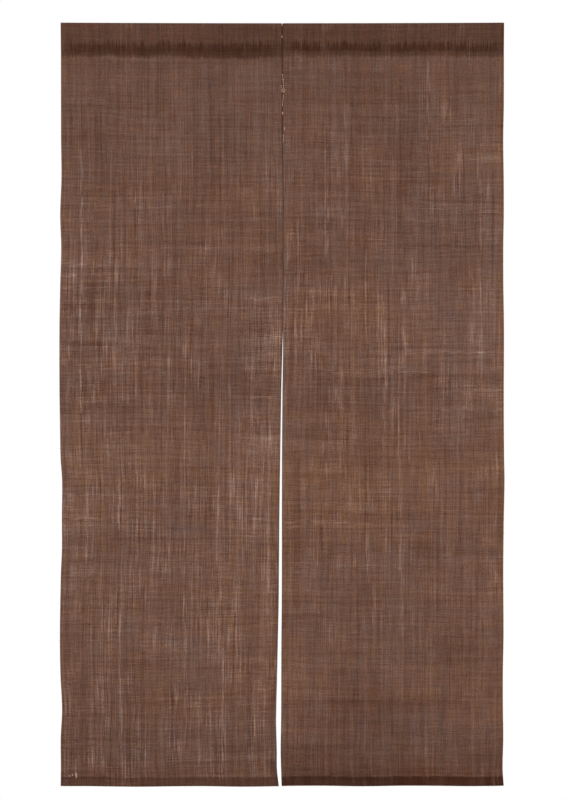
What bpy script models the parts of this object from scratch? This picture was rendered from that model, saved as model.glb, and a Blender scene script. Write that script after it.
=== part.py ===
"""A noren: a door curtain of two loom-width panels of open hemp cloth.

The panels hang side by side from one rod. Each has its own casing at the top, folded to the back, and a
turned-up hem at the bottom. Their inner edges meet along a seam in the upper part and part below it as a slit.

Metres, +Z up. The origin is on the rod's line, in the middle of the casing, at the seam. +X runs to the right
as seen from the front, the front faces -Y, and a drop is measured down from the curtain's top edge.
"""

import math

import bmesh
import bpy

MM = 0.001

# The cloth, in mm.
CLOTH = 1.0
FULL_DROP = 1500.0
TOP_SAG = 1.2
SEAM_GAP = 0.3

# The casing: the rod's sleeve, the stitch line that closes it, and the raw edge turned in at its back, in mm.
CASING_RADIUS = 6.0
STITCH_DROP = 58.0
CASING_EDGE_DROP = 67.0
TURNED_IN_TOP_DROP = 40.0
TURNED_IN_TOP_STEP = 2.6
TURNED_IN = 2.0
ROD_DROP = CLOTH + CASING_RADIUS

# The hem, turned up twice at the back, in mm.
HEM_DEPTH = 18.5
HEM_STEP = 1.5
HEM_EXTRA = 1.6
RIGHT_HEM_RISE = 1.0

# How finely each panel is divided.
COLUMNS = 18
BODY_ROWS = 34
FLANK_ROWS = 3
ARC_STEPS = 8
SHARP_DEGREES = 40

# Outer edges: how far each strays outward from its nominal line, in mm, at each drop.
LEFT_EDGE = -436.5
RIGHT_EDGE = 434.0
OUTER_EDGES = (
    # drop, left, right
    (0, -0.5, 0.6),
    (155, -0.8, 0.6),
    (230, -0.9, -0.6),
    (305, -1.7, 0.3),
    (379, 0.8, 0.4),
    (440, -1.1, -0.5),
    (515, 0.8, -0.3),
    (600, 2.3, 0.9),
    (725, 2.3, 0.5),
    (800, 1.2, 0.7),
    (855, 0.2, 1.2),
    (900, -2.8, 2.0),
    (975, -2.4, 0.6),
    (1035, -2.4, -0.1),
    (1085, -0.2, -0.5),
    (1205, 1.7, 0.1),
    (1280, 0.6, -1.2),
    (1350, -2.6, -1.1),
    (1405, 0.1, -0.4),
    (1465, -0.2, -1.7),
    (1500, 0.3, 0.4),
)

# The line where the panels meet: its distance from the middle and the gap there, in mm, at each drop.
SEAM_END_DROP = 600.0
MEETING_LINE = (
    # drop, middle, gap
    (0, -1.0, SEAM_GAP),
    (120, -0.7, SEAM_GAP),
    (230, 0.1, SEAM_GAP),
    (430, 1.2, SEAM_GAP),
    (SEAM_END_DROP, 0.4, SEAM_GAP),
    (640, 0.0, 1.1),
    (720, -1.6, 2.2),
    (840, -3.0, 3.2),
    (960, -4.0, 4.8),
    (1130, -4.8, 6.0),
    (1225, -6.2, 7.2),
    (1290, -7.0, 8.4),
    (1370, -8.0, 9.8),
    (1430, -7.8, 7.6),
    (1465, -7.3, 8.2),
    (1500, -4.9, 5.6),
)

# Soft folds that run down the cloth, in mm. A positive depth leans to the back.
FOLDS = (
    # x at the top, x at the hem, starts at drop, full at drop, half width, depth
    (-372, -392, 110, 950, 44, 4.6),
    (-296, -288, 240, 1350, 52, -5.4),
    (-196, -176, 150, 1150, 47, 4.2),
    (-98, -72, 320, 1050, 40, -4.4),
    (52, 66, 420, 1250, 42, 3.6),
    (138, 158, 180, 1400, 55, -5.8),
    (252, 246, 260, 1100, 45, 4.8),
    (348, 366, 130, 1300, 50, -4.0),
)

# Edges that curl once they hang free, in mm. The side is +1 for the cloth to the right of the edge.
EDGE_CURLS = (
    # panel, x of the edge, side, starts at drop, full at drop, width, depth
    ("panel_left", -437, 1, 300, 1250, 26, 4.5),
    ("panel_left", -8, -1, 640, 1300, 30, 3.2),
    ("panel_right", -2, 1, 640, 1250, 24, -2.6),
    ("panel_right", 434, -1, 350, 1350, 28, 3.8),
)

PANELS = (
    # name, colour
    ("panel_left", (0.160, 0.084, 0.057, 1.0)),
    ("panel_right", (0.152, 0.079, 0.054, 1.0)),
)


def eased(start, end, value):
    """0 before the start, 1 past the end, and a smooth rise between them."""
    share = min(max((value - start) / (end - start), 0.0), 1.0)
    return share * share * (3.0 - 2.0 * share)


def read_table(rows, column, drop):
    """A column of a table at a drop, on a smooth curve through the table's rows."""
    index = 0
    while index < len(rows) - 2 and rows[index + 1][0] < drop:
        index += 1
    before = rows[max(index - 1, 0)]
    start = rows[index]
    end = rows[index + 1]
    after = rows[min(index + 2, len(rows) - 1)]
    span = end[0] - start[0]
    share = min(max((drop - start[0]) / span, 0.0), 1.0)
    slope_in = span * (end[column] - before[column]) / (end[0] - before[0])
    slope_out = span * (after[column] - start[column]) / (after[0] - start[0])
    square = share * share
    cube = square * share
    return (
        (2 * cube - 3 * square + 1) * start[column]
        + (cube - 2 * square + share) * slope_in
        + (3 * square - 2 * cube) * end[column]
        + (cube - square) * slope_out
    )


def panel_edges(name, drop):
    """Where a panel's left and right edges lie at a drop, in mm."""
    middle = read_table(MEETING_LINE, 1, drop)
    half_gap = SEAM_GAP / 2 if drop <= SEAM_END_DROP else read_table(MEETING_LINE, 2, drop) / 2
    if name == "panel_left":
        return LEFT_EDGE - read_table(OUTER_EDGES, 1, drop), middle - half_gap
    return middle + half_gap, RIGHT_EDGE + read_table(OUTER_EDGES, 2, drop)


def fold_depth(name, x, drop):
    """How far the cloth leans to the back at a place on it, in mm."""
    down = min(max(drop / FULL_DROP, 0.0), 1.0)
    depth = 0.0
    for x_top, x_hem, starts, full, half_width, fold in FOLDS:
        centre = x_top + (x_hem - x_top) * down
        depth += fold * eased(starts, full, drop) * math.exp(-(((x - centre) / half_width) ** 2))
    for panel, edge, side, starts, full, width, curl in EDGE_CURLS:
        if panel == name:
            inward = 1.0 - min(max(side * (x - edge) / width, 0.0), 1.0)
            depth += curl * eased(starts, full, drop) * inward * inward
    return depth


def body_rungs():
    """The single cloth from the hem up to the casing: front and back points, as (y, drop) pairs."""
    rungs = []
    hem_top = FULL_DROP - HEM_DEPTH
    for drop in (FULL_DROP, hem_top):
        rungs.append(((-CLOTH / 2, drop), (CLOTH / 2 + HEM_EXTRA, drop)))
    row_height = (hem_top - HEM_STEP - CASING_EDGE_DROP) / BODY_ROWS
    for row in range(BODY_ROWS + 1):
        drop = hem_top - HEM_STEP - row * row_height
        rungs.append(((-CLOTH / 2, drop), (CLOTH / 2, drop)))
    return rungs


def casing_rungs():
    """The casing's loop from the stitch line up the front, over the top and down the back.

    Each rung is an outer point and an inner point. The first and last share the inner point at the stitch line.
    """
    stitch_rise = STITCH_DROP - ROD_DROP
    seat = CLOTH / 2
    rungs = [((-CLOTH / 2, STITCH_DROP), (seat, STITCH_DROP))]
    for row in range(1, FLANK_ROWS + 1):
        share = row / (FLANK_ROWS + 1)
        inner = seat - (CASING_RADIUS + seat) * share
        drop = STITCH_DROP - stitch_rise * share
        rungs.append(((inner - CLOTH, drop), (inner, drop)))
    for step in range(ARC_STEPS + 1):
        angle = math.pi * step / ARC_STEPS
        across = -math.cos(angle)
        up = math.sin(angle)
        outer_radius = CASING_RADIUS + CLOTH
        outer = (across * outer_radius, ROD_DROP - up * outer_radius)
        inner = (across * CASING_RADIUS, ROD_DROP - up * CASING_RADIUS)
        rungs.append((outer, inner))
    step_drop = TURNED_IN_TOP_DROP - TURNED_IN_TOP_STEP
    for drop, thickness in (
        ((ROD_DROP + step_drop) / 2, CLOTH),
        (step_drop, CLOTH),
        (TURNED_IN_TOP_DROP, TURNED_IN),
        (STITCH_DROP, TURNED_IN),
    ):
        inner = seat + (CASING_RADIUS - seat) * (STITCH_DROP - drop) / stitch_rise
        rungs.append(((inner + thickness, drop), (inner, drop)))
    return rungs


def add_point(section, point):
    """A vertex of the section at a (y, drop) pair, both kept in mm until the cloth is shaped."""
    return section.verts.new((0.0, point[0], -point[1]))


def panel_section():
    """The panel's section, as a ladder of quads from the hem to the casing and round its loop."""
    section = bmesh.new()
    ladder = [(add_point(section, front), add_point(section, back)) for front, back in body_rungs()]
    loop_rungs = casing_rungs()
    casing_end = add_point(section, (CLOTH / 2 + TURNED_IN, CASING_EDGE_DROP))
    stitch = add_point(section, loop_rungs[0][1])
    loop = [(add_point(section, loop_rungs[0][0]), stitch)]
    for outer, inner in loop_rungs[1:-1]:
        loop.append((add_point(section, outer), add_point(section, inner)))
    loop.append((add_point(section, loop_rungs[-1][0]), stitch))

    front_top, back_top = ladder[-1]
    for low, high in zip(ladder[:-1], ladder[1:]):
        section.faces.new((low[0], low[1], high[1], high[0]))
    section.faces.new((front_top, back_top, stitch, loop[0][0]))
    section.faces.new((back_top, casing_end, loop[-1][0], stitch))
    for low, high in zip(loop[:-1], loop[1:]):
        section.faces.new((low[0], low[1], high[1], high[0]))
    return section


def draw_across(section):
    """Draw the section out into a solid one unit wide, in equal steps."""
    step = (1.0 / COLUMNS, 0.0, 0.0)
    bmesh.ops.spin(
        section,
        geom=section.verts[:] + section.edges[:] + section.faces[:],
        cent=(0.0, 0.0, 0.0),
        axis=(1.0, 0.0, 0.0),
        dvec=step,
        angle=0.0,
        steps=COLUMNS,
        use_duplicate=False,
    )


def shape_cloth(solid, name):
    """Lay the flat solid between the panel's edges and along its folds, and turn mm into metres."""
    for vertex in solid.verts:
        across, y, height = vertex.co
        drop = -height
        left, right = panel_edges(name, drop)
        x = left + (right - left) * across
        rise = TOP_SAG * (x / RIGHT_EDGE) ** 2 * (1.0 - drop / FULL_DROP)
        if name == "panel_right":
            rise += RIGHT_HEM_RISE * eased(SEAM_END_DROP, FULL_DROP, drop)
        z = ROD_DROP - drop + rise
        vertex.co = (x * MM, (y + fold_depth(name, x, drop)) * MM, z * MM)


def cloth_material(name, colour):
    """Plain matt cloth in the panel's colour."""
    material = bpy.data.materials.new(name + "_cloth")
    material.use_nodes = True
    shader = material.node_tree.nodes["Principled BSDF"]
    shader.inputs["Base Color"].default_value = colour
    shader.inputs["Roughness"].default_value = 0.9
    shader.inputs["Metallic"].default_value = 0.0
    return material


def make_panel(name, colour, collection):
    """One panel of cloth with its casing and hem, as a closed solid."""
    solid = panel_section()
    draw_across(solid)
    shape_cloth(solid, name)
    bmesh.ops.recalc_face_normals(solid, faces=solid.faces[:])
    mesh = bpy.data.meshes.new(name)
    solid.to_mesh(mesh)
    solid.free()
    mesh.materials.append(cloth_material(name, colour))
    mesh.shade_smooth()
    mesh.set_sharp_from_angle(angle=math.radians(SHARP_DEGREES))
    collection.objects.link(bpy.data.objects.new(name, mesh))


def main():
    for item in list(bpy.data.objects):
        bpy.data.objects.remove(item, do_unlink=True)
    collection = bpy.data.collections.new("noren_curtain")
    bpy.context.scene.collection.children.link(collection)
    for name, colour in PANELS:
        make_panel(name, colour, collection)


main()
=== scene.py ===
"""The looks of a noren: two panels of open, slubby brown hemp hung from a casing, with their sewing.

Lengths in the first part are in millimetres. A drop is measured down from the curtain's top edge, and the
cloth's own places are given across the loom width and along the warp.
"""

import math
import random

import bmesh
import bpy
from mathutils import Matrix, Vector, noise


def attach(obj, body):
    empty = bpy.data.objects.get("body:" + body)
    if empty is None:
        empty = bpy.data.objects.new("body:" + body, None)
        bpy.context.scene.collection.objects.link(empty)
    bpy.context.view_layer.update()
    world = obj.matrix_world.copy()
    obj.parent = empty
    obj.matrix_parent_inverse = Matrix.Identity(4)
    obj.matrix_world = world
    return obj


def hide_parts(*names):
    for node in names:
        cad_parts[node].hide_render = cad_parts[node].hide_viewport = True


MM = 0.001

# The photograph's frame and scale.
PHOTO_WIDTH = 569
PHOTO_HEIGHT = 800
MM_PER_PIXEL = 1.965
SEAM_PIXEL_X = 282.7
TOP_PIXEL_Y = 23.0
CAMERA_DISTANCE = 6.0
SENSOR_MM = 36.0
FLOOR_RADIUS = 3.1
FLOOR_FADE = (0.55 * FLOOR_RADIUS, 0.98 * FLOOR_RADIUS)
FLOOR_HEIGHT = -1.95

# The cloth.
CLOTH_THICKNESS = 0.5
LAYER_STEP = 0.75
FULL_DROP = 1500.0
TOP_SAG = 1.2
RIGHT_HEM_RISE = 1.0
COLUMN_WIDTH = 4.5
ROW_HEIGHT = 5.0
THREAD_PITCH = 0.95
WEFT_BOW = 1.7
HEMP_BROWN = (99, 70, 56)

# The casing and the hem.
SLEEVE_RADIUS = 6.4
ROD_DROP = 7.0
STITCH_DROP = 58.0
CASING_EDGE_DROP = 66.5
TURNED_IN_TOP_DROP = 40.0
HEM_TOP_DROP = 1481.5
HEM_EDGE_DROP = FULL_DROP - 1.6
HEM_STITCH_DROP = 1483.5

# Outer edges: how far each strays outward from its nominal line, in mm, at each drop.
LEFT_EDGE = -436.5
RIGHT_EDGE = 434.0
OUTER_EDGES = (
    # drop, left, right
    (0, -0.5, 0.6),
    (155, -0.8, 0.6),
    (230, -0.9, -0.6),
    (305, -1.7, 0.3),
    (379, 0.8, 0.4),
    (440, -1.1, -0.5),
    (515, 0.8, -0.3),
    (600, 2.3, 0.9),
    (725, 2.3, 0.5),
    (800, 1.2, 0.7),
    (855, 0.2, 1.2),
    (900, -2.8, 2.0),
    (975, -2.4, 0.6),
    (1035, -2.4, -0.1),
    (1085, -0.2, -0.5),
    (1205, 1.7, 0.1),
    (1280, 0.6, -1.2),
    (1350, -2.6, -1.1),
    (1405, 0.1, -0.4),
    (1465, -0.2, -1.7),
    (1500, 0.3, 0.4),
)

# The line where the panels meet: its distance from the middle and the gap there, in mm, at each drop.
SEAM_END_DROP = 600.0
TOP_NOTCH = 0.9
SEAM_ROLL = 1.5
SEAM_ROLL_WIDTH = 2.6
MEETING_LINE = (
    # drop, middle, gap
    (0, -1, 0),
    (120, -0.7, 0),
    (230, 0.1, 0),
    (430, 1.2, 0),
    (SEAM_END_DROP, 0.4, 0),
    (640, 0, 1.1),
    (720, -1.6, 2.2),
    (840, -3, 3.2),
    (960, -4, 4.8),
    (1130, -4.8, 6),
    (1225, -6.2, 7.2),
    (1290, -7, 8.4),
    (1370, -8, 9.8),
    (1430, -7.8, 7.6),
    (1465, -7.3, 8.2),
    (1500, -4.9, 5.6),
)

# Soft folds that run down the cloth, in mm. A positive depth leans to the back.
FOLDS = (
    # x at the top, x at the hem, starts at drop, full at drop, half width, depth
    (-372, -392, 110, 950, 44, 4.6),
    (-296, -288, 240, 1350, 52, -5.4),
    (-196, -176, 150, 1150, 47, 4.2),
    (-98, -72, 320, 1050, 40, -4.4),
    (52, 66, 420, 1250, 42, 3.6),
    (138, 158, 180, 1400, 55, -5.8),
    (252, 246, 260, 1100, 45, 4.8),
    (348, 366, 130, 1300, 50, -4.0),
)

# Edges that curl once they hang free, in mm. The side is +1 for the cloth to the right of the edge.
EDGE_CURLS = (
    # panel, x of the edge, side, starts at drop, full at drop, width, depth
    ("left", -437, 1, 300, 1250, 26, 4.5),
    ("left", -8, -1, 640, 1300, 30, 3.2),
    ("right", -2, 1, 640, 1250, 24, -2.6),
    ("right", 434, -1, 350, 1350, 28, 3.8),
)

# Where the cloth is lighter and its yarns lie apart, or darker and closer, with one painted shadow at the
# open end of the sleeve. Lightness is in screen steps.
PATCHES = (
    # x, drop, half width, half height, lightness, openness
    (-24, 600, 38, 70, 8, 0.8),
    (-44, 875, 50, 80, 9, 0.5),
    (-118, 925, 60, 44, 0, 0.4),
    (250, 605, 52, 75, 5.5, 0.4),
    (402, 268, 44, 60, 9, 0.3),
    (402, 630, 44, 110, 8, 0.4),
    (433, 425, 24, 100, 6, 0),
    (-407, 482, 28, 55, 5, 0.3),
    (-388, 944, 32, 62, 5.5, 0.3),
    (143, 953, 34, 42, 4.5, 0.3),
    (-329, 1160, 34, 44, 4, 0.3),
    (-117, 1190, 40, 100, 4.5, 0.9),
    (-29, 1090, 34, 65, 5, 0.8),
    (-26, 1350, 30, 100, 3, 1),
    (96, 270, 34, 170, 1.5, 0.3),
    (423, 1361, 20, 52, 8, 0.2),
    (-319, 640, 40, 50, 4, 0.4),
    (-235, 374, 38, 34, 3, 0.2),
    (-358, 231, 64, 75, -5.5, 0),
    (-142, 230, 44, 90, -5, 0),
    (-145, 705, 62, 66, -8, 0),
    (-356, 750, 85, 46, -6, 0),
    (115, 732, 72, 48, -8, 0),
    (173, 860, 40, 40, -5, 0),
    (105, 1040, 50, 42, -7.5, 0),
    (276, 1032, 34, 38, -5, 0),
    (153, 1352, 95, 46, -7, 0),
    (230, 1450, 200, 44, -7, 0),
    (350, 1234, 60, 34, -5, 0),
    (-335, 1382, 120, 40, -4.5, 0),
    (310, 423, 48, 44, -3.5, 0),
    (202, 197, 44, 95, -3, 0),
    (210, 1230, 230, 330, 0, -0.45),
    (-220, 960, 210, 430, 0, 0.3),
    (0, 150, 520, 120, -1, -0.55),
    (-220, 640, 200, 130, -3, 0),
    (8, 400, 5, 150, 3.5, 0),
    (-372, 1448, 55, 22, 3, 1),
    # A painted shadow in the open end of the sleeve, at the right edge.
    (434, 18, 5, 20, -16, 0),
    (-436, 40, 6, 40, 8, 0),
    (-352, 540, 68, 85, -9, 0),
    (-150, 400, 150, 110, -4.5, 0),
    (75, 490, 85, 100, -6.5, 0),
    (395, 850, 55, 85, 4, 0),
    (300, 95, 80, 35, 4.5, 0),
    (-54, 106, 42, 28, 9.5, 0),
    (-50, 1408, 32, 34, -8.5, 0),
    (140, 240, 170, 60, 1, 0),
    (-220, 82, 230, 12, -4, 0),
    (-90, 390, 110, 110, 0, -0.5),
    (-190, 790, 130, 90, 0, -0.6),
    (-400, 690, 35, 60, 0, 0.7),
    (-270, 610, 110, 60, 0, 0.4),
    (-60, 620, 60, 70, 0, 0.4),
    (-60, 940, 50, 50, 0, -0.4),
    (110, 280, 80, 60, 0, -0.6),
    (320, 175, 60, 40, 0, 0.6),
    (195, 1030, 70, 70, 0, 0.6),
    (398, 1240, 40, 70, 0, -0.8),
    (70, 1375, 80, 70, 0, -0.5),
    (-220, 210, 230, 120, 0, -0.5),
    (220, 1400, 230, 110, 0, -0.5),
    (-80, 952, 32, 30, -6, 0),
    (-14, 1384, 12, 36, 8, 0),
    (-401, 576, 28, 26, -5, 0),
    (137, 889, 36, 25, -6, 0),
    (32, 1103, 45, 34, 7, 0),
    (34, 1455, 55, 28, -9, 0),
    (294, 640, 34, 32, 6, 0),
    (216, 514, 52, 42, -5, 0),
    (15, 585, 22, 50, -6, 0),
    (-336, 333, 60, 45, -4.5, 0),
    (-364, 1308, 30, 24, -7, 0),
    (-211, 1320, 34, 26, -9, 0),
    (-219, 875, 62, 36, 5, 0),
    (-14, 1200, 18, 60, 6, 0),
    (-152, 1031, 32, 26, 6.5, 0),
    (-430, 893, 14, 45, -7, 0),
    (-430, 1296, 12, 36, 7, 0),
    (-12, 877, 12, 30, 6, 0),
    (-256, 993, 34, 26, -7, 0),
    (-256, 1406, 55, 36, -4, 0),
    (70, 180, 34, 34, 6.5, 0),
    (280, 1288, 75, 28, 7, 0),
    (328, 329, 32, 26, -6, 0),
    (328, 725, 40, 32, -6, 0),
    (92, 657, 30, 26, 6, 0),
    (133, 347, 42, 40, -4.5, 0),
    (15, 412, 16, 28, -4, 0),
    (355, 1378, 40, 26, 6, 0),
    (430, 1278, 12, 34, 6, 0),
    (430, 1455, 16, 24, -3, 0),
    (260, 1475, 265, 15, -13, 0),
    (-322, 1467, 45, 20, -9, 0),
    (45, 1436, 28, 16, -6, 0),
    (405, 1425, 35, 22, -6, 0),
)

# Where the dye took warmer or cooler, in screen steps between red and blue.
DYE_PATCHES = (
    # x, drop, half width, half height, warmth
    (-220, 165, 270, 105, -3.6),
    (-75, 400, 95, 100, 2.2),
    (-240, 650, 220, 80, -2.4),
    (-200, 880, 270, 75, 3.4),
    (-140, 1200, 230, 120, 1.7),
    (-260, 1430, 200, 50, -2.6),
    (330, 150, 190, 90, -3),
    (60, 95, 130, 40, -2.6),
    (290, 400, 230, 100, -3.2),
    (105, 565, 120, 75, 3),
    (330, 640, 120, 70, -2),
    (85, 930, 110, 100, 5.4),
    (330, 890, 170, 105, 3.6),
    (300, 1080, 150, 45, -1),
    (50, 1290, 70, 100, 1.8),
    (415, 1310, 60, 90, 2.2),
    (240, 1420, 270, 42, -4),
    (12, 1010, 26, 130, 5),
    (12, 1337, 20, 60, 4),
    (430, 184, 16, 60, 5),
    (430, 807, 16, 60, 4.5),
    (310, 1312, 70, 35, 5.5),
    (45, 180, 50, 45, 4.5),
    (167, 824, 50, 35, 4.5),
    (-430, 750, 16, 60, -4),
    (-430, 258, 16, 60, -3.5),
    (-200, 550, 75, 35, -4),
    (-87, 911, 50, 35, -4),
    (-193, 347, 50, 40, -3.5),
    (-57, 1286, 45, 35, 4),
    (-290, 80, 150, 16, -3.5),
    (430, 640, 16, 50, 3.5),
    (172, 1345, 40, 50, 3.5),
)

# Single warp yarns, or a few side by side, that stand out lighter or darker over a stretch.
LEFT_WARP_LINES = (
    # x, starts at drop, ends at drop, half width, tone
    (-407, 1453, 1475, 2, 16),
    (-395.5, 245, 335, 1.3, 12),
    (-396.5, 335, 764, 1.7, 31),
    (-397.5, 610, 764, 1.6, 15),
    (-386, 801, 1095, 2.9, 15),
    (-360, 1082, 1135, 2.9, 12),
    (-356, 1149, 1361, 2.9, 12),
    (-329, 467, 718, 3.9, 13),
    (-327, 1088, 1204, 2.9, 12),
    (-334, 913, 975, 1.5, 12),
    (-321, 900, 988, 2.9, 18),
    (-297, 915, 950, 1.5, 9),
    (-236, 335, 410, 1.5, 12),
    (-319, 1129, 1422, 2.9, 16),
    (-270, 1351, 1475, 1, 13),
    (-191, 693, 1170, 2, 12),
    (-191, 1184, 1428, 2.9, 15),
    (-165, 1327, 1453, 2, 13),
    (-128, 885, 1068, 2, 17),
    (-124, 1048, 1266, 2.9, 12),
    (-118, 1225, 1475, 2, 15),
    (-99, 877, 997, 3.9, 13),
    (-79, 928, 1076, 2, 12),
    (-44, 573, 887, 2.9, -12),
    (-36, 1318, 1475, 2, 12),
    (-28, 738, 1158, 2.9, 14),
    (-20, 1300, 1475, 3.9, -13),
    (-14, 557, 701, 2.9, 13),
    (-12, 1276, 1408, 2, 19),
)
RIGHT_WARP_LINES = (
    # x, starts at drop, ends at drop, half width, tone
    (5.5, 247, 590, 2.8, 7),
    (7, 72, 112, 7, -9),
    (11, 380, 492, 2.9, 9),
    (25, 559, 683, 2, 10),
    (27, 850, 1158, 5.9, -11),
    (57, 532, 675, 2, 11),
    (79, 820, 852, 1.5, 13),
    (86, 245, 459, 3.9, 11),
    (116, 649, 870, 3.9, 11),
    (125, 156, 563, 2.9, 11),
    (163, 437, 669, 2, 14),
    (163, 1178, 1443, 3.9, 9),
    (167, 877, 1095, 2.9, 13),
    (178, 1050, 1190, 2, 10),
    (188, 475, 634, 2, 11),
    (196, 545, 604, 2.9, 9),
    (198, 761, 834, 2.9, 10),
    (200, 618, 748, 2, 16),
    (203, 1008, 1045, 1.5, 16),
    (208, 514, 903, 2, -10),
    (211, 1002, 1040, 1.5, 12),
    (224, 587, 828, 2.9, -11),
    (228, 687, 830, 1, 11),
    (231, 115, 439, 2.9, -10),
    (231, 852, 1070, 2.9, 12),
    (235, 1084, 1213, 2.9, 9),
    (239, 537, 710, 3.9, 10),
    (249, 825, 850, 1.5, 10),
    (269, 805, 850, 1, 12),
    (271, 925, 978, 1, 11),
    (285, 78, 217, 2, 14),
    (330, 140, 205, 1.5, 16),
    (344, 245, 302, 1.5, 14),
    (375, 510, 704, 2.9, 9),
    (383, 235, 305, 2, 12),
    (389, 384, 732, 2.9, 9),
    (391, 240, 305, 1.5, 12),
    (412, 341, 551, 2.9, -10),
)
WARP_LINES = {"left": LEFT_WARP_LINES, "right": RIGHT_WARP_LINES}

# Weft yarns that stand out over part of the width.
LEFT_WEFT_LINES = (
    # drop, starts at x, ends at x, half width, tone
    (152, -433, -350, 5, 7),
    (355, -433, -360, 2, 8),
    (477, -433, -391, 3.9, 12),
    (500, -433, -403, 3.9, 14),
    (524, -433, -374, 2.9, 10),
    (541, -59, -4, 4.9, 12),
    (561, -433, -319, 4.9, -8),
    (608, -433, -403, 3.9, 8),
    (614, -42, -4, 3.9, 10),
    (632, -433, -325, 3.9, -10),
    (649, -55, -4, 3.9, 10),
    (675, -433, -311, 3.9, 8),
    (736, -65, -4, 2.9, 8),
    (816, -79, -4, 2.9, 9),
    (830, -59, -4, 3.9, 8),
    (885, -433, -391, 3.9, 8),
    (907, -433, -279, 2.9, -8),
    (926, -433, -268, 3.9, 8),
    (972, -433, -356, 2.9, 10),
    (976, -79, -4, 3.9, 8),
    (1176, -46, -4, 7.9, 9),
    (1341, -187, -140, 4, 7),
    (1424, -132, -22, 6.9, -8),
)
RIGHT_WEFT_LINES = (
    # drop, starts at x, ends at x, half width, tone
    (262, 363, 428, 4.9, 9),
    (351, 281, 428, 2.9, -9),
    (370, 389, 428, 3.9, 11),
    (404, 383, 428, 2.9, 10),
    (439, 253, 428, 2.9, -9),
    (567, 6, 45, 3.9, 10),
    (647, 239, 428, 2.9, 10),
    (671, 6, 125, 2, -8),
    (685, 78, 283, 3.9, 8),
    (693, 263, 428, 3.9, -9),
    (702, 6, 202, 3.9, -8),
    (720, 351, 428, 2.9, 10),
    (761, 306, 428, 2, 8),
    (789, 6, 47, 2.9, 9),
    (958, 13, 135, 4.9, -8),
    (970, 318, 396, 2, 7),
    (980, 6, 127, 2.9, 10),
    (989, 6, 39, 2.9, 11),
    (1070, 151, 249, 3.9, 8),
    (1241, 6, 153, 3.9, -8),
    (1337, 6, 361, 3.9, -8),
)
WEFT_LINES = {"left": LEFT_WEFT_LINES, "right": RIGHT_WEFT_LINES}

# Loops and runs of paler mending thread on the seam. The x is measured from the seam.
MEND_LOOPS = (
    # x, drop, half width, half height
    (0.4, 102, 0.8, 1.5),
    (1.4, 112, 0.8, 1.8),
    (0.2, 125.5, 2.5, 3),
    (2.8, 132.5, 2.4, 3.2),
    (-0.4, 133.5, 1.8, 2.6),
    (0.6, 177, 0.8, 1.6),
    (-0.4, 27, 1, 1.6),
)
MEND_RUNS = (
    # x and drop at the start, x and drop at the end
    (0.4, 103, 1.2, 110),
    (1.4, 113, 2, 120),
    (1.9, 140, 1, 152),
    (0.9, 151, -0.2, 164),
    (-0.4, 2, -0.2, 7),
    (-0.6, 174, -0.2, 180),
    (3.6, 205, 3.8, 210),
    (1, 219, 1.6, 227),
    (1.4, 226, 0.6, 235),
)

# Knots and ends of pale thread at the hem's left corner.
HEM_KNOTS = (
    # x, drop, half width, half height
    (-406.6, 1476.5, 1.2, 3),
    (-405.4, 1479, 1.3, 3.4),
    (-406, 1482, 0.9, 2),
    (-413.5, 1477.5, 0.6, 1.8),
    (-419, 1480, 1.4, 0.6),
)

# Kinds of unevenness in the weave and the dye: the width and length of their cells, in mm on the cloth.
UNEVENNESS = {
    # kind: width, length, seed, finer detail
    "fine warp, left": (1.5, 34, 0.3, 0),
    "fine warp, right": (2.3, 34, 0.3, 0),
    "long warp": (2, 230, 1.3, 0),
    "warp group": (6.5, 320, 2.3, 0),
    "warp band": (21, 520, 2.8, 0),
    "fine weft": (22, 1.4, 3.3, 0),
    "long weft": (110, 1.9, 4.3, 0),
    "weft group": (240, 6.5, 5.3, 0),
    "weft band": (430, 24, 5.8, 0),
    "grain": (2, 2.4, 6.3, 0),
    "loose weave": (34, 75, 7.3, 1),
    "broad tone": (110, 130, 8.3, 1),
    "bright yarns": (2.2, 60, 9.3, 0),
    "dye spots": (17, 24, 10.3, 0),
    "dye clouds": (95, 120, 10.8, 0),
    "dyed warp band": (15, 480, 11.3, 0),
    "dyed weft band": (420, 42, 11.8, 0),
    "dyed weft group": (220, 11, 12.3, 0),
    "dyed warps": (4, 60, 12.8, 0),
    "turned edge": (30, 400, 13.3, 0),
    "frayed edge": (2.4, 400, 13.8, 0),
    "clumps": (15, 60, 14.3, 1),
    "weft bow": (240, 420, 15.3, 0),
    "warp wander": (90, 26, 16.3, 0),
    "weft wander": (12, 60, 16.8, 0),
    "broken warp": (2.2, 9, 17.3, 0),
    "broken weft": (9, 2.2, 17.8, 0),
}

# Noise lies about its middle, and the gain brings its usual reach near 1.
NOISE_MIDDLE = 0.5
NOISE_GAIN = 7.0

# How strongly the kinds and the listed yarns show, in screen steps. Halfway down it is lighter too.
FINE_WARP_TONE = 5.3
WARP_TONES = (("long warp", 6), ("warp group", 2.8), ("warp band", 1.4))
FINE_WEFT_TONE = 4.2
WEFT_TONES = (("long weft", 3.6), ("weft group", 2.3), ("weft band", 1.6))
GRAIN_TONE = 4.9
# Lighter slubs, with painted light that shines through between the yarns where the weave is open.
SLUB_AND_SHINE_THROUGH_TONE = 22.0
BROAD_TONE = 1.3
MIDDLE_TONE = 5.0
PLACED_TONE = 1.1
USUAL_WARMTH = 1.0
DYE_PER_STEP = 0.0485
DYE_WARMTHS = (
    ("dye spots", 1.8),
    ("dye clouds", 0.8),
    ("dyed warp band", 1.2),
    ("dyed weft band", 0.8),
    ("dyed weft group", 0.8),
    ("dyed warps", 0.6),
)

# How far the listed yarns wander, and how ragged their ends and sides are, in mm.
WARP_WANDER = 0.45
WEFT_WANDER = 0.7
RAGGED_WARP = 9.0
RAGGED_WEFT = 7.0

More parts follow.
